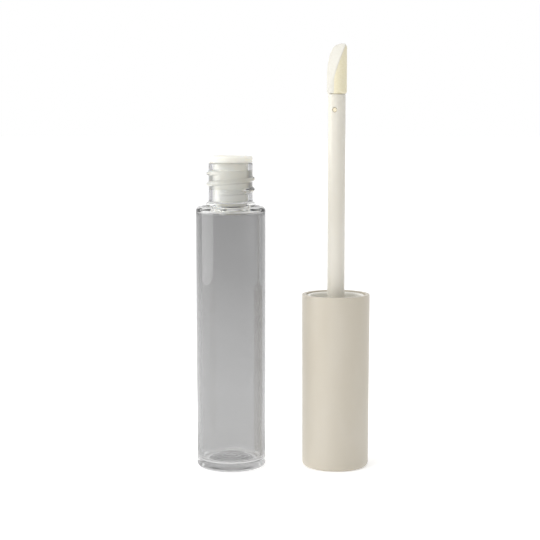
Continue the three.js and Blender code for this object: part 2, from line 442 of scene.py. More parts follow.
@dataclass(frozen=True)
class ClearPetg:
    """Clear PETG, blown: glassy, with painted shade in its outer skin, grey and darkest under the
    shoulder.
    """

    axis: Vector
    name: str = "petg_clear_blown"
    body_skin: float = 7.7  # what is further from the axis than this is the body's outer skin
    neck_skin: float = 4.75
    base_skin: float = 1.2  # and so is what is lower than this
    neck_low: float = 62
    collar_end: float = 63.6  # above this the neck's wall is plain between the threads
    top: float = 75
    painted_shade_by_height: tuple[tuple[float, str], ...] = (  # painted shade, by height: darkens from the base up to the shoulder, near white on the neck
        (0, "#cacac9"),
        (1.2, "#b8b8b8"),
        (3, "#a1a1a1"),
        (20, "#9d9d9d"),
        (33, "#969696"),
        (46, "#8a8a8a"),
        (60.9, "#868686"),
        (61.7, "#f4f4f2"),
    )
    clear: str = "#ffffff"
    # painted shade for the neck's plain wall where it is seen edge-on
    edge: str = "#7e7e82"
    neck_wall: float = 5.25
    wall_end: float = 5.35  # further out than this it is thread
    ior: float = 1.57
    roughness: float = 0.02
    flow_mm: float = 9  # length of the faint waves that blowing leaves in the wall

    def painted_shade(self, tree: bpy.types.NodeTree, place: bpy.types.NodeSocket) -> bpy.types.NodeSocket:
        """Make the painted shade that only the outer skin has: grey by height, with the neck's painted
        edge shade.

        Args:
            tree: The material's node tree.
            place: Where on the bottle, as Object coordinates.

        Returns:
            The colour.
        """
        height = add_node(tree, "ShaderNodeSeparateXYZ", inputs={0: place}).outputs["Z"]
        share = add_node(
            tree,
            "ShaderNodeMapRange",
            inputs={"Value": height, "From Max": self.top * MM},
        ).outputs["Result"]
        # Painted shade: the outer skin's grey, set by height.
        tone = add_node(tree, "ShaderNodeValToRGB", inputs={0: share})
        set_stops(tone, [(z / self.top, colour) for z, colour in self.painted_shade_by_height])
        from_axis = add_node(
            tree,
            "ShaderNodeVectorMath",
            {"operation": "SUBTRACT"},
            {0: place, 1: (self.axis.x, self.axis.y, 0)},
        ).outputs["Vector"]
        level = add_node(
            tree, "ShaderNodeVectorMath", {"operation": "MULTIPLY"}, {0: from_axis, 1: (1, 1, 0)}
        ).outputs["Vector"]
        radius = add_node(
            tree, "ShaderNodeVectorMath", {"operation": "LENGTH"}, {0: level}
        ).outputs["Value"]
        on_neck = add_node(
            tree, "ShaderNodeMath", {"operation": "GREATER_THAN"}, {0: height, 1: self.neck_low * MM}
        ).outputs["Value"]
        skin = add_node(
            tree,
            "ShaderNodeMapRange",
            inputs={"Value": on_neck, "To Min": self.body_skin * MM, "To Max": self.neck_skin * MM},
        ).outputs["Result"]
        around = add_node(
            tree, "ShaderNodeMath", {"operation": "GREATER_THAN"}, {0: radius, 1: skin}
        ).outputs["Value"]
        beneath = add_node(
            tree, "ShaderNodeMath", {"operation": "LESS_THAN"}, {0: height, 1: self.base_skin * MM}
        ).outputs["Value"]
        outside = add_node(
            tree, "ShaderNodeMath", {"operation": "MAXIMUM"}, {0: around, 1: beneath}
        ).outputs["Value"]
        # The painted shade by height, darkened by the neck's painted edge shade.
        shade_with_edge = add_node(
            tree,
            "ShaderNodeMix",
            {"data_type": "RGBA"},
            {
                0: self.neck_edge_shade(tree, height, radius),
                6: tone.outputs["Color"],
                7: linear(self.edge),
            },
        ).outputs[2]
        return add_node(
            tree, "ShaderNodeMix", {"data_type": "RGBA"}, {0: outside, 6: linear(self.clear), 7: shade_with_edge}
        ).outputs[2]

    def neck_edge_shade(
        self, tree: bpy.types.NodeTree, height: bpy.types.NodeSocket, radius: bpy.types.NodeSocket
    ) -> bpy.types.NodeSocket:
        """Find where the neck's plain wall, between the threads, gets painted shade: where it is seen
        edge-on.

        Args:
            tree: The material's node tree.
            height: Height, in metres.
            radius: Distance from the bottle's axis.

        Returns:
            From 0 to 1, where the painted shade is strongest.
        """
        # Painted shade: the more edge-on the wall is seen, the darker.
        facing = add_node(tree, "ShaderNodeLayerWeight", inputs={"Blend": 0.5}).outputs["Facing"]
        depth = add_node(
            tree, "ShaderNodeMapRange", inputs={"Value": facing, "From Min": 0.25, "From Max": 0.45}
        ).outputs["Result"]
        plain = add_node(
            tree,
            "ShaderNodeMapRange",
            inputs={"Value": radius, "From Min": self.wall_end * MM, "From Max": self.neck_wall * MM},
        ).outputs["Result"]
        low, high = (self.collar_end - 1) * MM, self.collar_end * MM
        neck = add_node(
            tree, "ShaderNodeMapRange", inputs={"Value": height, "From Min": low, "From Max": high}
        ).outputs["Result"]
        both = add_node(
            tree, "ShaderNodeMath", {"operation": "MULTIPLY"}, {0: plain, 1: neck}
        ).outputs["Value"]
        return add_node(
            tree, "ShaderNodeMath", {"operation": "MULTIPLY"}, {0: both, 1: depth}
        ).outputs["Value"]

    def build(self) -> bpy.types.Material:
        """Build the material."""
        material, tree, output = new_material(self.name)
        place = add_node(tree, "ShaderNodeTexCoord").outputs["Object"]
        waves = add_node(
            tree,
            "ShaderNodeTexNoise",
            inputs={"Vector": place, "Scale": 1 / (self.flow_mm * MM), "Detail": 1, "Roughness": 0.4},
        ).outputs["Fac"]
        ripple = add_node(
            tree,
            "ShaderNodeBump",
            inputs={"Strength": 0.25, "Distance": 0.05 * MM, "Height": waves},
        ).outputs["Normal"]
        shader = add_node(
            tree,
            "ShaderNodeBsdfPrincipled",
            inputs={
                "Base Color": self.painted_shade(tree, place),
                "Roughness": self.roughness,
                "IOR": self.ior,
                "Transmission Weight": 1.0,
                "Normal": ripple,
            },
        )
        # Light reaches what is inside the bottle straight through the wall, as it does in life.
        through = add_node(tree, "ShaderNodeBsdfTransparent", inputs={"Color": linear("#f2f2f2")})
        to_light = add_node(tree, "ShaderNodeLightPath").outputs["Is Shadow Ray"]
        mixed = add_node(
            tree,
            "ShaderNodeMixShader",
            inputs={0: to_light, 1: shader.outputs["BSDF"], 2: through.outputs["BSDF"]},
        )
        tree.links.new(mixed.outputs["Shader"], output.inputs["Surface"])
        return material


@dataclass(frozen=True)
class MouldedPlastic:
    """Injection-moulded polyolefin: a fine spark-eroded grain, faint flow marks and rubbed ends."""

    name: str
    colour: str
    marks: str  # the tone that the flow marks drift towards
    roughness: float
    grain_mm: float = 0.35  # grit of the mould's surface, drawn coarse enough to show
    grain_depth_mm: float = 0.004
    flow_mm: float = 7
    rubbed_z: tuple[float, float] = (0, 1000)  # heights of the ends, where handling polishes it
    rubbed_mm: float = 1.5
    subsurface: float = 0.0
    subsurface_mm: float = 1.0
    ior: float = 1.49

    def build(self) -> bpy.types.Material:
        """Build the material."""
        material, tree, output = new_material(self.name)
        place = add_node(tree, "ShaderNodeTexCoord").outputs["Object"]
        stretched = add_node(
            tree, "ShaderNodeMapping", inputs={"Vector": place, "Scale": (1, 1, 0.35)}
        ).outputs["Vector"]
        flow = add_node(
            tree,
            "ShaderNodeTexNoise",
            inputs={"Vector": stretched, "Scale": 1 / (self.flow_mm * MM), "Detail": 3},
        ).outputs["Fac"]
        colour = add_node(tree, "ShaderNodeValToRGB", inputs={0: flow})
        set_stops(colour, [(0.3, self.marks), (0.7, self.colour)])
        grain = add_node(
            tree,
            "ShaderNodeTexNoise",
            inputs={"Vector": place, "Scale": 1 / (self.grain_mm * MM), "Detail": 4, "Roughness": 0.6},
        ).outputs["Fac"]
        bump = add_node(
            tree,
            "ShaderNodeBump",
            inputs={"Strength": 0.6, "Distance": self.grain_depth_mm * MM, "Height": grain},
        ).outputs["Normal"]
        rough = self.rubbed_roughness(tree, place, grain)
        shader = add_node(
            tree,
            "ShaderNodeBsdfPrincipled",
            inputs={
                "Base Color": colour.outputs["Color"],
                "Roughness": rough,
                "IOR": self.ior,
                "Subsurface Weight": self.subsurface,
                "Subsurface Radius": (1, 0.9, 0.75),
                "Subsurface Scale": self.subsurface_mm * MM,
                "Normal": bump,
            },
        )
        tree.links.new(shader.outputs["BSDF"], output.inputs["Surface"])
        return material

    def rubbed_roughness(
        self, tree: bpy.types.NodeTree, place: bpy.types.NodeSocket, grain: bpy.types.NodeSocket
    ) -> bpy.types.NodeSocket:
        """Make a roughness that follows the grain, and drops at the two ends, where it is handled.

        Args:
            tree: The material's node tree.
            place: Where on the piece, as Object coordinates.
            grain: The grain's height, from 0 to 1.

        Returns:
            The roughness.
        """
        height = add_node(tree, "ShaderNodeSeparateXYZ", inputs={0: place}).outputs["Z"]
        low, high = self.rubbed_z
        from_low = add_node(
            tree,
            "ShaderNodeMapRange",
            {"interpolation_type": "SMOOTHSTEP"},
            {"Value": height, "From Min": low * MM, "From Max": (low + self.rubbed_mm) * MM},
        ).outputs["Result"]
        from_high = add_node(
            tree,
            "ShaderNodeMapRange",
            {"interpolation_type": "SMOOTHSTEP"},
            {"Value": height, "From Min": high * MM, "From Max": (high - self.rubbed_mm) * MM},
        ).outputs["Result"]
        untouched = add_node(
            tree, "ShaderNodeMath", {"operation": "MULTIPLY"}, {0: from_low, 1: from_high}
        ).outputs["Value"]
        base = add_node(
            tree,
            "ShaderNodeMapRange",
            inputs={"Value": untouched, "To Min": self.roughness * 0.75, "To Max": self.roughness},
        ).outputs["Result"]
        speckle = add_node(
            tree,
            "ShaderNodeMapRange",
            inputs={"Value": grain, "From Min": 0.25, "From Max": 0.75, "To Min": 0.9, "To Max": 1.1},
        ).outputs["Result"]
        return add_node(
            tree, "ShaderNodeMath", {"operation": "MULTIPLY"}, {0: base, 1: speckle}
        ).outputs["Value"]


@dataclass(frozen=True)
class ClosedCellFoam:
    """Expanded polyethylene liner: a dull white skin with fine closed cells, their pits darkened with
    painted shade.
    """

    name: str = "pe_foam_expanded"
    colour: str = "#f4f2ea"
    # painted shade in the cells' pits
    pit_shade: str = "#d9d6cb"
    cell_mm: float = 0.3

    def build(self) -> bpy.types.Material:
        """Build the material."""
        material, tree, output = new_material(self.name)
        place = add_node(tree, "ShaderNodeTexCoord").outputs["Object"]
        cells = add_node(
            tree, "ShaderNodeTexVoronoi", inputs={"Vector": place, "Scale": 1 / (self.cell_mm * MM)}
        ).outputs["Distance"]
        # Painted shade: the cells' pits, low in the bump, are darker.
        colour = add_node(tree, "ShaderNodeValToRGB", inputs={0: cells})
        set_stops(colour, [(0.1, self.pit_shade), (0.6, self.colour)])
        bump = add_node(
            tree,
            "ShaderNodeBump",
            inputs={"Strength": 0.7, "Distance": 0.04 * MM, "Height": cells},
        ).outputs["Normal"]
        shader = add_node(
            tree,
            "ShaderNodeBsdfPrincipled",
            inputs={"Base Color": colour.outputs["Color"], "Roughness": 0.85, "Normal": bump},
        )
        tree.links.new(shader.outputs["BSDF"], output.inputs["Surface"])
        return material


@dataclass(frozen=True)
class NylonFlock:
    """Electrostatic nylon flock: a dense velvet of cream fibres, with painted light on the slanted
    front and painted shade in the pile's hollows.
    """

    base: Vector  # the middle of the tip's base
    facing: float  # in degrees, the way that the slanted front faces away from
    length: float
    front: Callable[[float], float]  # where the front lies at a height, behind the axis
    name: str = "nylon_flock_velvet"
    colour: str = "#efe8ce"
    # painted shade in the pile's hollows, where the tufts' bump is low
    root: str = "#e5dcba"
    # painted light: the front coloured as if lit from the left
    lit_front_colour: str = "#dddbd3"
    # painted shade in the front's hollows
    lit_front_hollow_shade: str = "#d6d2c6"
    front_mm: float = 0.3  # how far behind the front its painted light fades out
    reach: float = 3  # the front lies within this of the axis
    tuft_mm: float = 0.3
    depth_mm: float = 0.05

    def painted_light_front(self, tree: bpy.types.NodeTree, place: bpy.types.NodeSocket) -> bpy.types.NodeSocket:
        """Find the tip's slanted front, which gets painted light: a paler, greyer colour than the
        sides.

        Args:
            tree: The material's node tree.
            place: Where on the tip, as Object coordinates.

        Returns:
            From 0, behind the front, to 1 on it.
        """
        inside = add_node(
            tree, "ShaderNodeVectorMath", {"operation": "SUBTRACT"}, {0: place, 1: tuple(self.base)}
        ).outputs["Vector"]
        turned = radians(self.facing)
        behind = add_node(
            tree,
            "ShaderNodeVectorMath",
            {"operation": "DOT_PRODUCT"},
            {0: inside, 1: (cos(turned) / MM, sin(turned) / MM, 0)},
        ).outputs["Value"]
        height = add_node(tree, "ShaderNodeSeparateXYZ", inputs={0: inside}).outputs["Z"]
        share = add_node(
            tree, "ShaderNodeMapRange", inputs={"Value": height, "From Max": self.length * MM}
        ).outputs["Result"]
        profile = add_node(tree, "ShaderNodeFloatCurve", inputs={"Value": share})
        points = profile.mapping.curves[0].points
        steps = 12
        for step in range(steps + 1):
            x = step / steps
            y = max(0.0, 0.5 + self.front(x * self.length) / (2 * self.reach))
            if step in (0, steps):
                points[-1 if step else 0].location = (x, y)
            else:
                points.new(x, y)
        profile.mapping.update()
        front = add_node(
            tree,
            "ShaderNodeMapRange",
            inputs={"Value": profile.outputs["Value"], "To Min": -self.reach, "To Max": self.reach},
        ).outputs["Result"]
        depth = add_node(
            tree, "ShaderNodeMath", {"operation": "SUBTRACT"}, {0: behind, 1: front}
        ).outputs["Value"]
        return add_node(
            tree,
            "ShaderNodeMapRange",
            {"interpolation_type": "SMOOTHSTEP"},
            {"Value": depth, "From Min": self.front_mm, "From Max": self.front_mm * 0.4},
        ).outputs["Result"]

    def build(self) -> bpy.types.Material:
        """Build the material."""
        material, tree, output = new_material(self.name)
        place = add_node(tree, "ShaderNodeTexCoord").outputs["Object"]
        tufts = add_node(
            tree,
            "ShaderNodeTexNoise",
            inputs={"Vector": place, "Scale": 1 / (self.tuft_mm * MM), "Detail": 5, "Roughness": 0.7},
        ).outputs["Fac"]
        # Painted shade: the tufts' low parts are darker, on the sides and on the front.
        sides = add_node(tree, "ShaderNodeValToRGB", inputs={0: tufts})
        set_stops(sides, [(0.3, self.root), (0.62, self.colour)])
        # Painted light: the slanted front gets a paler, greyer copy of the flock's colour.
        lit_face = add_node(tree, "ShaderNodeValToRGB", inputs={0: tufts})
        set_stops(lit_face, [(0.3, self.lit_front_hollow_shade), (0.62, self.lit_front_colour)])
        colour = add_node(
            tree,
            "ShaderNodeMix",
            {"data_type": "RGBA"},
            {0: self.painted_light_front(tree, place), 6: sides.outputs["Color"], 7: lit_face.outputs["Color"]},
        ).outputs[2]
        bump = add_node(
            tree,
            "ShaderNodeBump",
            inputs={"Strength": 0.8, "Distance": self.depth_mm * MM, "Height": tufts},
        ).outputs["Normal"]
        shader = add_node(
            tree,
            "ShaderNodeBsdfPrincipled",
            inputs={
                "Base Color": colour,
                "Roughness": 0.95,
                "Sheen Weight": 0.5,
                "Sheen Roughness": 0.4,
                "Normal": bump,
            },
        )
        tree.links.new(shader.outputs["BSDF"], output.inputs["Surface"])
        return material


# ---------------------------------------------------------------- the pieces


@dataclass
class Placed:
    """A sub-assembly on an upright axis. It dresses its pieces and hands them to the frame."""

    axis: Vector
    pieces: list[bpy.types.Object] = field(default_factory=list)

    def finish(
        self, piece: bpy.types.Object, material: bpy.types.Material, body: str, node: str, slot: str
    ) -> None:
        """Give a piece its material, and let it ride and stand for its CAD node.

        Args:
            piece: The piece, its mesh final.
            material: What it is made of.
            body: The body that it moves with.
            node: The CAD node that it stands for.
            slot: Not used.
        """
        piece.data.materials.clear()
        piece.data.materials.append(material)
        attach(piece, body)
        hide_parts(node)
        self.pieces.append(piece)
        LOG.info("%s: %d faces, rides on %s", piece.name, len(piece.data.polygons), body)


@dataclass
class Bottle(Placed):
    """The clear bottle: pushed-up base, straight body, rounded shoulder, collar and threaded neck."""

    radius: float = 8.25
    neck_radius: float = 5.22
    wall: float = 1.1
    neck_wall: float = 0.95
    shoulder_z: float = 62.4
    neck_z: float = 72.6
    collar_radius: float = 5.86
    collar_z: float = 62.7
    heel: float = 0.9
    waist: float = 0.13
    push_up: float = 0.9
    foot_ring: float = 5.7
    floor: float = 1.5
    inner_heel: float = 1.7
    flow_ring: float = 0.07  # height of the rings that the plastic leaves as it settles on the floor
    flow_pitch: float = 1.25
    thread: Thread = Thread(
        pitch=2.5, rise=0.5, base_width=1.4, crest_width=0.3, zero_z=66.4, start=-125, end=615
    )

    def outside(self) -> Iterator[Ring]:
        """Draw the outline from the middle of the base up to the neck's lip."""
        vestige = 0.9  # what is left of the moulding gate
        yield Ring(vestige * 0.5, self.push_up - 0.12)
        yield Ring(vestige, self.push_up - 0.02)
        under = Ring(vestige, self.push_up)
        yield under
        yield from curve(under, Ring(self.foot_ring * 0.75, self.push_up), Ring(self.foot_ring, 0), 12)
        yield from arc(Ring(self.radius - self.heel, self.heel), self.heel, -90, 0, 10)
        heel_end, straight = Ring(self.radius, self.heel), Ring(self.radius, 20)
        yield from curve(heel_end, Ring(self.radius - 2 * self.waist, 8), straight, 16)
        edge = Ring(self.radius, self.shoulder_z - 1.25)
        yield edge
        top = Ring(self.radius - 1, self.shoulder_z)
        yield from curve(edge, Ring(self.radius, self.shoulder_z - 0.1), top, 10)
        collar = Ring(self.collar_radius, self.collar_z)
        yield from curve(top, Ring(self.collar_radius + 0.2, self.shoulder_z + 0.35), collar, 8)
        collar_top = Ring(self.collar_radius, self.collar_z + 0.55)
        yield collar_top
        root = Ring(self.neck_radius, self.collar_z + 1.2)
        yield from curve(collar_top, Ring(self.neck_radius + 0.05, self.collar_z + 0.65), root, 8)
        lip = Ring(self.neck_radius, self.neck_z - 0.25)
        yield from upright(root, lip, 0.08)
        mouth = Ring(self.neck_radius - 0.25, self.neck_z)
        yield from curve(lip, Ring(self.neck_radius, self.neck_z), mouth, 4)

    def inside(self) -> Iterator[Ring]:
        """Draw the outline from the neck's lip down the bore to the middle of the floor."""
        bore, inner = self.neck_radius - self.neck_wall, self.radius - self.wall
        lip = Ring(bore + 0.2, self.neck_z)
        yield lip
        yield from curve(lip, Ring(bore, self.neck_z), Ring(bore, self.neck_z - 0.2), 4)
        bore_end = Ring(bore, self.collar_z)
        yield bore_end
        mid = Ring(bore + 0.9, self.shoulder_z - 0.75)
        yield from curve(bore_end, Ring(bore, self.shoulder_z - 0.7), mid, 10)
        under = Ring(inner - 0.9, self.shoulder_z - 0.85)
        yield under
        side = Ring(inner, self.shoulder_z - 2.1)
        yield from curve(under, Ring(inner, self.shoulder_z - 0.95), side, 12)
        heel = Ring(inner - self.inner_heel, self.floor + self.inner_heel)
        yield from arc(heel, self.inner_heel, 0, -90, 14)
        edge = Ring(heel.radius, self.floor)
        dome = self.floor + self.push_up
        for ring in curve(edge, Ring(self.foot_ring * 0.6, dome), Ring(0.4, dome), 36):
            wave = self.flow_ring * sin(2 * pi * (edge.radius - ring.radius) / self.flow_pitch)
            yield Ring(ring.radius, ring.z + wave)

    def build(self) -> None:
        """Model and dress the bottle."""
        rings = [*self.outside(), *self.inside()]
        piece = turn("clear_bottle", self.axis, rings, Inside.BLIND, 224)
        self.thread.draw_out(piece, self.axis, self.neck_radius)
        smooth(piece, 40)
        self.finish(piece, ClearPetg(self.axis).build(), "bottle", "bottle", "clear_petg")


@dataclass
class Wiper(Placed):
    """The soft plug in the neck: flange, banded barrel, cone and the lip that strips the rod."""

    neck_z: float = 72.6
    flange_radius: float = 5.18
    flange_rise: float = 1.7
    barrel: float = 4.12
    grip: float = 0.18  # how far the band that holds it in the neck stands out
    bore: float = 3.5
    lip: float = 1.95
    lip_depth: float = 11.3
    cone: float = 2.3
    band: tuple[float, float] = (5.2, 9.6)  # heights above the lip that the band begins and ends at

    def outline(self) -> Iterator[Ring]:
        """Draw the outline up the outside, over the flange and down the bore."""
        lip_z = self.neck_z - self.lip_depth
        cone_z = lip_z + self.cone
        under, top = self.neck_z + 0.1, self.neck_z + self.flange_rise
        yield Ring(self.lip, lip_z)
        yield Ring(self.lip + 0.4, lip_z)
        yield Ring(self.barrel, cone_z - 0.4)
        band_low, band_high = (lip_z + height for height in self.band)
        yield Ring(self.barrel, band_low - self.grip)
        yield Ring(self.barrel + self.grip, band_low)
        yield Ring(self.barrel + self.grip, band_high)
        yield Ring(self.barrel, band_high + self.grip)
        yield Ring(self.barrel, under)
        yield Ring(self.flange_radius - 0.1, under)
        yield Ring(self.flange_radius, under + 0.1)
        side = Ring(self.flange_radius, top - 0.5)
        yield side
        edge = Ring(self.flange_radius - 0.6, top)
        yield from curve(side, Ring(self.flange_radius, top), edge, 8)
        mouth = Ring(self.bore + 0.45, top)
        yield mouth
        yield from curve(mouth, Ring(self.bore, top), Ring(self.bore, top - 0.6), 8)
        yield Ring(self.bore, cone_z)
        yield Ring(self.lip, lip_z + 0.5)
        yield Ring(self.lip, lip_z)

    def build(self) -> None:
        """Model and dress the wiper."""
        piece = turn("neck_wiper", self.axis, list(self.outline()), Inside.THROUGH, 160)
        smooth(piece)
        plastic = MouldedPlastic(
            "ldpe_natural_moulded",
            "#ebe8dd",
            "#e6e3d7",
            roughness=0.3,
            subsurface=1.0,
            subsurface_mm=3.5,
            rubbed_z=(self.neck_z - self.lip_depth, self.neck_z + self.flange_rise),
        )
        self.finish(piece, plastic.build(), "wiper", "wiper", "natural_polyethylene")


@dataclass
class Cap(Placed):
    """The cap, stood on its closed end: ivory shell, white threaded insert and foam washer."""

    length: float = 41.5
    open_radius: float = 8.06
    closed_radius: float = 7.92
    wall: float = 1.0
    edge: float = 1.0
    end_thickness: float = 1.5
    rod_radius: float = 2.05
    skirt_z: float = 41.25
    ceiling_z: float = 29.15
    socket_z: float = 18.4
    socket_radius: float = 3.5
    insert_bore: float = 5.95
    fins: int = 6  # and as many ribs
    fin_width: float = 0.9
    rib_width: float = 0.8
    washer: float = 0.9
    washer_radius: float = 5.2
    thread: Thread = Thread(
        pitch=2.5, rise=-0.55, base_width=0.9, crest_width=0.25, zero_z=33.05, start=-60, end=620
    )

    def depths(self) -> float:
        """Radius of the shell's inside at its bottom, which the draft of the mould makes narrower."""
        return self.open_radius - self.wall - 0.12

    def skirt(self) -> float:
        """Radius of the outside of the insert's skirt."""
        return self.open_radius - self.wall - 0.15

    def shell_outline(self) -> Iterator[Ring]:
        """Draw the ivory shell's outline, up the outside and down the inside."""
        mouth, depths = self.open_radius - self.wall, self.depths()
        rim = 0.2
        yield Ring(0.4, 0)
        yield Ring(self.closed_radius - self.edge - 2, 0)
        yield from arc(Ring(self.closed_radius - self.edge, self.edge), self.edge, -90, 0, 12)
        side = Ring(self.open_radius, self.length - rim)
        yield side
        top = Ring(self.open_radius - rim, self.length)
        yield from curve(side, Ring(self.open_radius, self.length), top, 5)
        lip = Ring(mouth + rim / 2, self.length)
        yield lip
        yield from curve(lip, Ring(mouth, self.length), Ring(mouth, self.length - rim / 2), 4)
        deep = Ring(depths, self.end_thickness + self.edge)
        yield deep
        floor_edge = Ring(depths - self.edge, self.end_thickness)
        yield from curve(deep, Ring(depths, self.end_thickness), floor_edge, 8)
        yield Ring(0.4, self.end_thickness)

    def shell(self) -> None:
        """Model the ivory shell, with the ribs inside that the insert is pressed on to."""
        piece = turn("cap_shell", self.axis, list(self.shell_outline()), Inside.BLIND, 192)
        start = Ring(self.depths() - 1.1, self.end_thickness - 0.3)
        end = Ring(self.depths() + 0.3, self.socket_z - 0.1)
        for number in range(self.fins):
            angle = (number + 0.5) * 360 / self.fins
            join_solid(piece, fin(self.axis, start, end, self.rib_width, angle))
        smooth(piece)
        plastic = MouldedPlastic(
            "pp_ivory_moulded",
            "#cec7b9",
            "#c9c1b1",
            roughness=0.42,
            rubbed_z=(0, self.length),
            subsurface=0.06,
        )
        self.finish(piece, plastic.build(), "applicator", "outer_cap", "ivory_polypropylene")

    def insert_outline(self) -> Iterator[Ring]:
        """Draw the insert's outline: its socket, its ceiling and the skirt with the thread."""
        skirt = self.skirt()
        bore, hole = self.insert_bore, self.rod_radius + 0.1
        ceiling, socket = 1.4, self.socket_radius
        yield Ring(0.4, self.socket_z)
        yield Ring(socket - 0.4, self.socket_z)
        yield Ring(socket, self.socket_z + 0.4)
        yield Ring(socket, self.ceiling_z - ceiling - 0.4)
        yield Ring(socket + 0.4, self.ceiling_z - ceiling)
        yield Ring(skirt - 0.2, self.ceiling_z - ceiling)
        yield Ring(skirt - 0.15, self.ceiling_z - ceiling + 0.1)
        side = Ring(skirt, self.skirt_z - 0.3)
        yield side
        edge = Ring(skirt - 0.3, self.skirt_z)
        yield from curve(side, Ring(skirt, self.skirt_z), edge, 5)
        mouth = Ring(bore + 0.3, self.skirt_z)
        yield mouth
        mouth_end = Ring(bore, self.skirt_z - 0.6)
        yield from curve(mouth, Ring(bore + 0.05, self.skirt_z - 0.1), mouth_end, 6)
        yield from upright(mouth_end, Ring(bore, self.ceiling_z + 0.2), 0.1)
        yield Ring(bore - 0.2, self.ceiling_z)
        yield Ring(hole + 0.3, self.ceiling_z)
        yield Ring(hole, self.ceiling_z - 0.3)
        yield Ring(hole, self.socket_z + 1)
        yield Ring(0.4, self.socket_z + 1)

    def insert(self) -> None:
        """Model the white threaded insert with its fins."""
        piece = turn("cap_insert", self.axis, list(self.insert_outline()), Inside.BLIND, 160)
        self.thread.draw_out(piece, self.axis, self.insert_bore)
        start = Ring(self.socket_radius - 0.3, self.socket_z + 1.2)
        end = Ring(self.skirt() - 0.35, self.ceiling_z - 1.1)
        for number in range(self.fins):
            angle = number * 360 / self.fins
            join_solid(piece, fin(self.axis, start, end, self.fin_width, angle))
        smooth(piece)
        plastic = MouldedPlastic(
            "pp_white_insert",
            "#f8f6f0",
            "#f2f0e8",
            roughness=0.33,
            rubbed_z=(0, self.skirt_z),
        )
        self.finish(piece, plastic.build(), "applicator", "inner_cap", "white_polypropylene")

    def seal(self) -> None:
        """Model the foam washer that lies loose round the rod."""
        low = self.ceiling_z + 0.05
        high = low + self.washer
        hole, rim = self.rod_radius + 0.3, self.washer_radius
        rings = [
            Ring(hole, low),
            Ring(rim - 0.1, low),
            Ring(rim, low + 0.1),
            Ring(rim, high - 0.1),
            Ring(rim - 0.1, high),
            Ring(hole + 0.08, high),
            Ring(hole, high - 0.08),
            Ring(hole, low),
        ]
        piece = turn("seal_ring", self.axis, rings, Inside.THROUGH, 128)
        smooth(piece)
        self.finish(piece, ClosedCellFoam().build(), "seal_washer", "seal_washer", "foam_liner")

    def build(self) -> None:
        """Model and dress the cap's pieces."""
        self.shell()
        self.insert()
        self.seal()


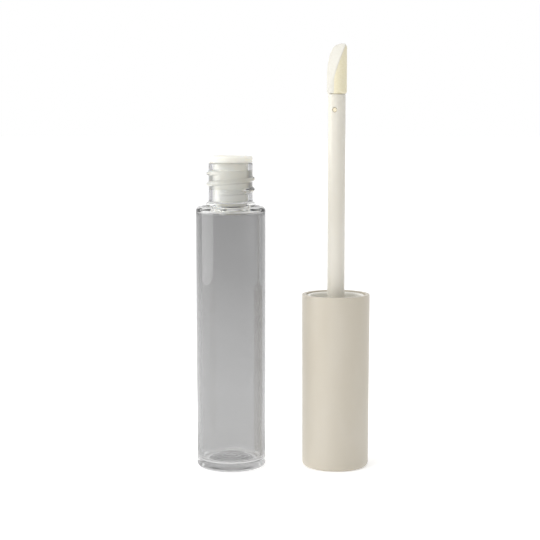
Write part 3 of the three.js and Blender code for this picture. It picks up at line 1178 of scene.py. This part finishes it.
@dataclass
class Applicator(Placed):
    """The rod, held in the cap, and the flocked doe-foot tip that is snapped into its end."""

    radius: float = 2.05
    rod_low: float = 19.5
    tip_z: float = 88.8
    tip_radius: float = 2.3
    tip_length: float = 11.8
    nose: float = 1.2
    bore: float = 1.3
    bore_depth: float = 8.5
    detent_depth: float = 3.75
    detent_radius: float = 0.6
    detent_angle: float = 252
    facing: float = 35
    skin: float = 0.4
    fit: float = 0.1
    fibre_length: float = 0.12
    fibre_radius: float = 0.014
    fibre_lean: float = 0.45  # in radians, the most that a fibre leans either way
    fibres_per_mm2: float = 26

    def rod(self) -> None:
        """Model the rod, with its bore and the side hole that the tip's nub snaps into."""
        top = self.tip_z - self.fit
        low = Ring(self.radius - 0.3, self.rod_low)
        side = Ring(self.radius, top - 0.2)
        edge = Ring(self.radius - 0.2, top)
        rings = [
            Ring(0.3, self.rod_low),
            low,
            Ring(self.radius, self.rod_low + 0.3),
            side,
            *curve(side, Ring(self.radius, top), edge, 5),
            Ring(self.bore, top),
            Ring(self.bore, top - self.bore_depth),
            Ring(0.3, top - self.bore_depth),
        ]
        piece = turn("applicator_rod", self.axis, rings, Inside.BLIND, 128)
        join_solid(piece, self.peg(self.detent_radius, 0, self.radius + 1), "DIFFERENCE")
        self.soften_hole(piece)
        smooth(piece, 40)
        plastic = MouldedPlastic(
            "pp_white_rod",
            "#e3dfd5",
            "#ddd8cb",
            roughness=0.3,
            grain_depth_mm=0.002,
            rubbed_z=(0, self.tip_z),
            subsurface=0.15,
        )
        self.finish(piece, plastic.build(), "applicator", "rod", "white_polypropylene")

    def peg(self, radius: float, start: float, end: float) -> bpy.types.Object:
        """Model a peg that points outwards at the tip's detent.

        Args:
            radius: Its radius.
            start: Distance from the axis where it starts.
            end: Distance where it ends.

        Returns:
            The peg.
        """
        begin()
        turned = radians(self.detent_angle)
        reach = (start + end) / 2 * MM
        bpy.ops.mesh.primitive_cylinder_add(
            vertices=40,
            radius=radius * MM,
            depth=(end - start) * MM,
            location=(
                self.axis.x + reach * cos(turned),
                self.axis.y + reach * sin(turned),
                (self.tip_z - self.detent_depth) * MM,
            ),
            rotation=(0, pi / 2, turned),
        )
        peg = bpy.context.active_object
        settle(peg)
        return peg

    def soften_hole(self, rod: bpy.types.Object) -> None:
        """Round the rim of the rod's side hole, as the mould leaves it.

        Args:
            rod: The rod, its hole already cut.
        """
        turned = radians(self.detent_angle)
        out = Vector((cos(turned), sin(turned), 0))
        mouth = self.axis + out * self.radius * MM
        mouth.z = (self.tip_z - self.detent_depth) * MM

        def on_rim(a: Vector, b: Vector) -> bool:
            """Tell whether an edge runs along the hole's outer rim.

            Args:
                a: One end of the edge.
                b: Its other end.

            Returns:
                True if it does.
            """
            for end in (a, b):
                gap = end - mouth
                across = gap - out * gap.dot(out)
                from_axis = Vector((end.x - self.axis.x, end.y - self.axis.y)).length
                if abs(across.length / MM - self.detent_radius) > 0.03:
                    return False
                if abs(from_axis / MM - self.radius) > 0.02 or gap.length > 1.2 * MM:
                    return False
            return True

        activate(rod)
        bpy.ops.object.mode_set(mode="EDIT")
        select_where(rod, on_rim)
        bpy.ops.mesh.bevel(offset=0.07 * MM, segments=3, clamp_overlap=True)
        bpy.ops.object.mode_set(mode="OBJECT")

    def facet_x(self, z: float, inset: float) -> float:
        """Where the slanted front of the doe-foot lies, as a distance behind the axis.

        Args:
            z: Height above the tip's base.
            inset: How far the form is drawn in all over.

        Returns:
            The distance. The tip faces the other way.
        """
        top = self.tip_length - inset
        knee = Ring(0.1 + inset * 0.5, top - 1.5)
        heel = Ring(-self.tip_radius + inset - 0.06, self.tip_length * 0.1)
        if z >= knee.z:
            upper = curve(knee, Ring(1.0, top), Ring(1.9, top), 24)
            path = [knee, *upper]
        else:
            belly = Ring(-self.tip_radius + inset + 0.35, self.tip_length * 0.56)
            path = [heel, *curve(heel, belly, knee, 48)]
        if z <= path[0].z:
            return path[0].radius - (path[0].z - z)
        for low, high in zip(path, path[1:]):
            if z <= high.z:
                share = (z - low.z) / (high.z - low.z)
                return low.radius + share * (high.radius - low.radius)
        return path[-1].radius

    def front_cutter(self, inset: float) -> bpy.types.Object:
        """Model the block that cuts the doe-foot's front, about an axis at the origin.

        Args:
            inset: How far the form is drawn in all over.

        Returns:
            The block, with its curved face towards the axis.
        """
        begin()
        deep, wide, tall = 6, 8, self.tip_length + 3
        bpy.ops.mesh.primitive_cube_add(size=1)
        block = bpy.context.active_object
        block.scale = (deep * MM, wide * MM, tall * MM)
        block.location = (-deep * MM, 0, (self.tip_length / 2 + 0.5) * MM)
        settle(block)
        bpy.ops.object.mode_set(mode="EDIT")
        select_where(block, lambda a, b: abs(a.z - b.z) > tall / 2 * MM and a.x > -deep * MM)
        bpy.ops.mesh.subdivide(number_cuts=90)
        bpy.ops.object.mode_set(mode="OBJECT")
        for vertex in block.data.vertices:
            if vertex.co.x > -deep * MM:
                vertex.co.x = self.facet_x(vertex.co.z / MM, inset) * MM
        return block

    def doe_foot(self, name: str, inset: float, base: float) -> bpy.types.Object:
        """Model the doe-foot form: a round bar with its front cut away in a full curve.

        Args:
            name: The form's name.
            inset: How far it is drawn in all over.
            base: Height of its bottom above the tip's base.

        Returns:
            The form, in its place.
        """
        radius, top = self.tip_radius - inset, self.tip_length - inset
        rings = [
            Ring(0.3, base),
            Ring(radius - 0.3, base),
            Ring(radius, base + 0.3),
            *arc(Ring(radius - self.nose, top - self.nose), self.nose, 0, 90, 10),
            Ring(0.3, top),
        ]
        bar = turn(name, Vector(), rings, Inside.BLIND, 96)
        join_solid(bar, self.front_cutter(inset), "DIFFERENCE")
        activate(bar)
        bar.rotation_euler.z = radians(self.facing)
        bar.location = (self.axis.x, self.axis.y, self.tip_z * MM)
        settle(bar)
        return bar

    def soften(self, form: bpy.types.Object, rounds: int) -> None:
        """Round a form's edges all over, as soft elastomer and flock do.

        Args:
            form: The form.
            rounds: How often it is smoothed.
        """
        apply_modifier(form, "REMESH", {"mode": "VOXEL", "voxel_size": 0.12 * MM})
        apply_modifier(form, "SMOOTH", {"factor": 0.5, "iterations": rounds})

    def core(self) -> None:
        """Model the tip's core: the shank with its snap nub, and the head under the flock."""
        shank = self.bore - self.fit
        low = -self.bore_depth + 0.4
        piece = self.doe_foot("doe_foot_core", self.skin + self.fit, 0.05)
        self.soften(piece, 3)
        rings = [
            Ring(0.3, self.tip_z + low),
            Ring(shank - 0.3, self.tip_z + low),
            Ring(shank, self.tip_z + low + 0.3),
            Ring(shank, self.tip_z + 1),
            Ring(0.3, self.tip_z + 1),
        ]
        join_solid(piece, turn("shank", self.axis, rings, Inside.BLIND, 48))
        join_solid(piece, self.peg(self.detent_radius - self.fit, 0.5, self.radius - 0.15))
        smooth(piece, 40)
        plastic = MouldedPlastic(
            "tpe_cream_moulded",
            "#ece2c8",
            "#e5d9bb",
            roughness=0.55,
            rubbed_z=(0, self.tip_z + self.tip_length),
        )
        self.finish(piece, plastic.build(), "applicator", "tip_core", "tip_elastomer")

    def flock(self) -> None:
        """Model the flocked skin, open below, with its fibres."""
        piece = self.doe_foot("doe_foot_flock", 0, 0)
        self.soften(piece, 8)
        base = self.tip_z * MM
        activate(piece)
        bpy.ops.object.mode_set(mode="EDIT")
        bpy.ops.mesh.select_all(action="SELECT")
        bpy.ops.mesh.bisect(
            plane_co=(0, 0, base + 0.02 * MM), plane_no=(0, 0, 1), clear_inner=True, use_fill=False
        )
        bpy.ops.object.mode_set(mode="OBJECT")
        inwards = {"thickness": (self.skin - 0.05) * MM, "offset": -1, "use_rim": True}
        apply_modifier(piece, "SOLIDIFY", inwards)
        apply_modifier(piece, "NODES", {"node_group": self.fibres()})
        smooth(piece, 50)
        base = Vector((self.axis.x, self.axis.y, base))
        low = 0.2 - self.tip_radius
        finish = NylonFlock(
            base, self.facing, self.tip_length, lambda z: max(low, self.facet_x(z, 0))
        )
        self.finish(piece, finish.build(), "applicator", "flock_coat", "nylon_flock")

    def fibres(self) -> bpy.types.NodeTree:
        """Make the node group that stands short fibres all over the flocked skin.

        Returns:
            The node group.
        """
        tree = bpy.data.node_groups.new("flock_fibres", "GeometryNodeTree")
        tree.interface.new_socket("Geometry", in_out="INPUT", socket_type="NodeSocketGeometry")
        tree.interface.new_socket("Geometry", in_out="OUTPUT", socket_type="NodeSocketGeometry")
        given = add_node(tree, "NodeGroupInput").outputs["Geometry"]
        normal = add_node(tree, "GeometryNodeInputNormal").outputs["Normal"]
        place = add_node(tree, "GeometryNodeInputPosition").outputs["Position"]
        # The skin's outside is what faces away from a point low in the tip.
        heart = (self.axis.x, self.axis.y, (self.tip_z + 3) * MM)
        from_heart = add_node(
            tree, "ShaderNodeVectorMath", {"operation": "SUBTRACT"}, {0: place, 1: heart}
        ).outputs["Vector"]
        outwards = add_node(
            tree, "ShaderNodeVectorMath", {"operation": "DOT_PRODUCT"}, {0: normal, 1: from_heart}
        ).outputs["Value"]
        on_outside = add_node(
            tree, "FunctionNodeCompare", {"operation": "GREATER_THAN"}, {0: outwards, 1: 0.0}
        ).outputs["Result"]
        scattered = add_node(
            tree,
            "GeometryNodeDistributePointsOnFaces",
            inputs={
                "Mesh": given,
                "Selection": on_outside,
                "Density": self.fibres_per_mm2 / MM**2,
                "Seed": 7,
            },
        )
        fibre = add_node(
            tree,
            "GeometryNodeMeshCone",
            {"fill_type": "NGON"},
            {
                "Vertices": 4,
                "Radius Top": self.fibre_radius * 0.4 * MM,
                "Radius Bottom": self.fibre_radius * MM,
                "Depth": self.fibre_length * MM,
            },
        ).outputs["Mesh"]
        lean = add_node(
            tree,
            "FunctionNodeRandomValue",
            {"data_type": "FLOAT_VECTOR"},
            {
                "Min": (-self.fibre_lean, -self.fibre_lean, 0),
                "Max": (self.fibre_lean, self.fibre_lean, pi),
                "Seed": 3,
            },
        ).outputs["Value"]
        size = add_node(
            tree,
            "FunctionNodeRandomValue",
            {"data_type": "FLOAT"},
            {2: 0.55, 3: 1.0, "Seed": 5},
        ).outputs[1]
        stood = add_node(
            tree,
            "GeometryNodeInstanceOnPoints",
            inputs={
                "Points": scattered.outputs["Points"],
                "Instance": fibre,
                "Rotation": scattered.outputs["Rotation"],
                "Scale": size,
            },
        ).outputs["Instances"]
        leaned = add_node(
            tree, "GeometryNodeRotateInstances", inputs={"Instances": stood, "Rotation": lean}
        ).outputs["Instances"]
        real = add_node(tree, "GeometryNodeRealizeInstances", inputs={0: leaned}).outputs[0]
        joined = add_node(tree, "GeometryNodeJoinGeometry", inputs={0: given})
        tree.links.new(real, joined.inputs[0])
        add_node(tree, "NodeGroupOutput", inputs={0: joined.outputs[0]})
        return tree

    def build(self) -> None:
        """Model and dress the rod and the tip."""
        self.rod()
        self.core()
        self.flock()


# ---------------------------------------------------------------- studio


@dataclass
class Studio:
    """A white table, soft light from the left and above, and the camera."""

    stand_back: float = 320
    eye_z: float = 82.7
    eye_x: float = -3.1
    down: float = 6.33  # in degrees
    lens: float = 90.2
    table_m: float = 12  # so wide that its edge isn't mirrored in the bottle
    walls: tuple[tuple[float, str], ...] = (  # once round from the front by way of the left
        (0, "#585858"),
        (0.15, "#707070"),
        (0.25, "#bebebe"),
        (0.5, "#a0a0a0"),
        (0.68, "#909090"),
        (0.8, "#4c4c4c"),
        (1, "#585858"),
    )
    ceiling: str = "#ababab"
    room_light: float = 2.4

    def table(self) -> None:
        """Lay the plain pale floor."""
        begin()
        bpy.ops.mesh.primitive_plane_add(size=self.table_m, location=(0, 0, 0))
        floor_plane = bpy.context.active_object
        floor_plane.name = "table"
        material, tree, output = new_material("paper_white_matte")
        shader = add_node(
            tree,
            "ShaderNodeBsdfPrincipled",
            inputs={
                "Base Color": linear("#f7f7f7"),
                "Roughness": 0.9,
                "Specular IOR Level": 0.1,
                "Emission Color": linear("#ffffff"),
                "Emission Strength": 0.3,
            },
        )
        tree.links.new(shader.outputs["BSDF"], output.inputs["Surface"])
        floor_plane.data.materials.append(material)

    def surroundings(self) -> None:
        """Light the room from its walls and ceiling, and let the camera see it as plain white."""
        world = bpy.data.worlds.new("white_room")
        bpy.context.scene.world = world
        world.use_nodes = True
        tree = world.node_tree
        tree.nodes.clear()
        way = add_node(tree, "ShaderNodeTexCoord").outputs["Generated"]
        parts = add_node(tree, "ShaderNodeSeparateXYZ", inputs={0: way}).outputs
        bearing = add_node(
            tree, "ShaderNodeMath", {"operation": "ARCTAN2"}, {0: parts["X"], 1: parts["Y"]}
        ).outputs["Value"]
        share = add_node(
            tree, "ShaderNodeMapRange", inputs={"Value": bearing, "From Min": -pi, "From Max": pi}
        ).outputs["Result"]
        tone = add_node(tree, "ShaderNodeValToRGB", inputs={0: share})
        set_stops(tone, self.walls)
        overhead = add_node(
            tree,
            "ShaderNodeMapRange",
            {"interpolation_type": "SMOOTHSTEP"},
            {"Value": parts["Z"], "From Min": 0.45, "From Max": 0.7},
        ).outputs["Result"]
        room = add_node(
            tree,
            "ShaderNodeMix",
            {"data_type": "RGBA"},
            {0: overhead, 6: tone.outputs["Color"], 7: linear(self.ceiling)},
        ).outputs[2]
        lit = add_node(
            tree, "ShaderNodeBackground", inputs={"Color": room, "Strength": self.room_light}
        ).outputs["Background"]
        seen = add_node(
            tree, "ShaderNodeBackground", inputs={"Color": linear("#ffffff"), "Strength": 1.0}
        ).outputs["Background"]
        to_camera = add_node(tree, "ShaderNodeLightPath").outputs["Is Camera Ray"]
        mixed = add_node(tree, "ShaderNodeMixShader", inputs={0: to_camera, 1: lit, 2: seen})
        add_node(tree, "ShaderNodeOutputWorld", inputs={"Surface": mixed.outputs["Shader"]})

    def softbox(
        self, name: str, place: Vector, target: Vector, size: tuple[float, float], power: float
    ) -> None:
        """Set up a soft rectangular light.

        Args:
            name: Its name.
            place: Where it stands, in metres.
            target: What it points at, in metres.
            size: Its width and height, in metres.
            power: Its power, in watts.
        """
        begin()
        bpy.ops.object.light_add(type="AREA", location=place)
        light = bpy.context.active_object
        light.name = name
        light.data.shape = "RECTANGLE"
        light.data.size, light.data.size_y = size
        light.data.energy = power
        light.rotation_euler = (target - place).to_track_quat("-Z", "Y").to_euler()

    def camera(self) -> None:
        """Set up the camera, a little above the neck and looking slightly down."""
        begin()
        bpy.ops.object.camera_add(
            location=(self.eye_x * MM, -self.stand_back * MM, self.eye_z * MM),
            rotation=(radians(90 - self.down), 0, 0),
        )
        seen_from = bpy.context.active_object
        seen_from.name = "camera"
        seen_from.data.lens = self.lens
        seen_from.data.sensor_width = 36
        seen_from.data.clip_start = 0.01
        seen_from.data.clip_end = 10
        bpy.context.scene.camera = seen_from

    def build(self) -> None:
        """Set up the whole studio."""
        self.camera()
        self.table()
        self.surroundings()
        # It stands upright on the table, and gives the bottle the light band down its left.
        beside = Vector((-0.42, -0.06, 0.16))
        self.softbox("side_light", beside, beside + Vector((0.42, 0, 0)), (0.38, 0.32), 0.62)
        above = Vector((-0.3, -0.36, 0.45))
        self.softbox("key_light", above, Vector((0, 0, 0.05)), (0.25, 0.25), 0.8)
        bpy.context.scene.view_settings.view_transform = "Standard"


def axis_of(node: str) -> Vector:
    """A point on the upright axis of a round CAD node."""
    low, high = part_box(node)
    return Vector(((low.x + high.x) / 2, (low.y + high.y) / 2, 0))


def main() -> None:
    """Build the studio and every sub-assembly."""
    logging.basicConfig(level=logging.INFO, format="%(name)s: %(message)s")
    begin()
    Studio().build()
    bottle_axis, cap_axis = axis_of("bottle"), axis_of("outer_cap")
    for part in (Bottle(bottle_axis), Wiper(bottle_axis), Cap(cap_axis), Applicator(cap_axis)):
        part.build()


if __name__ == "__main__":
    main()
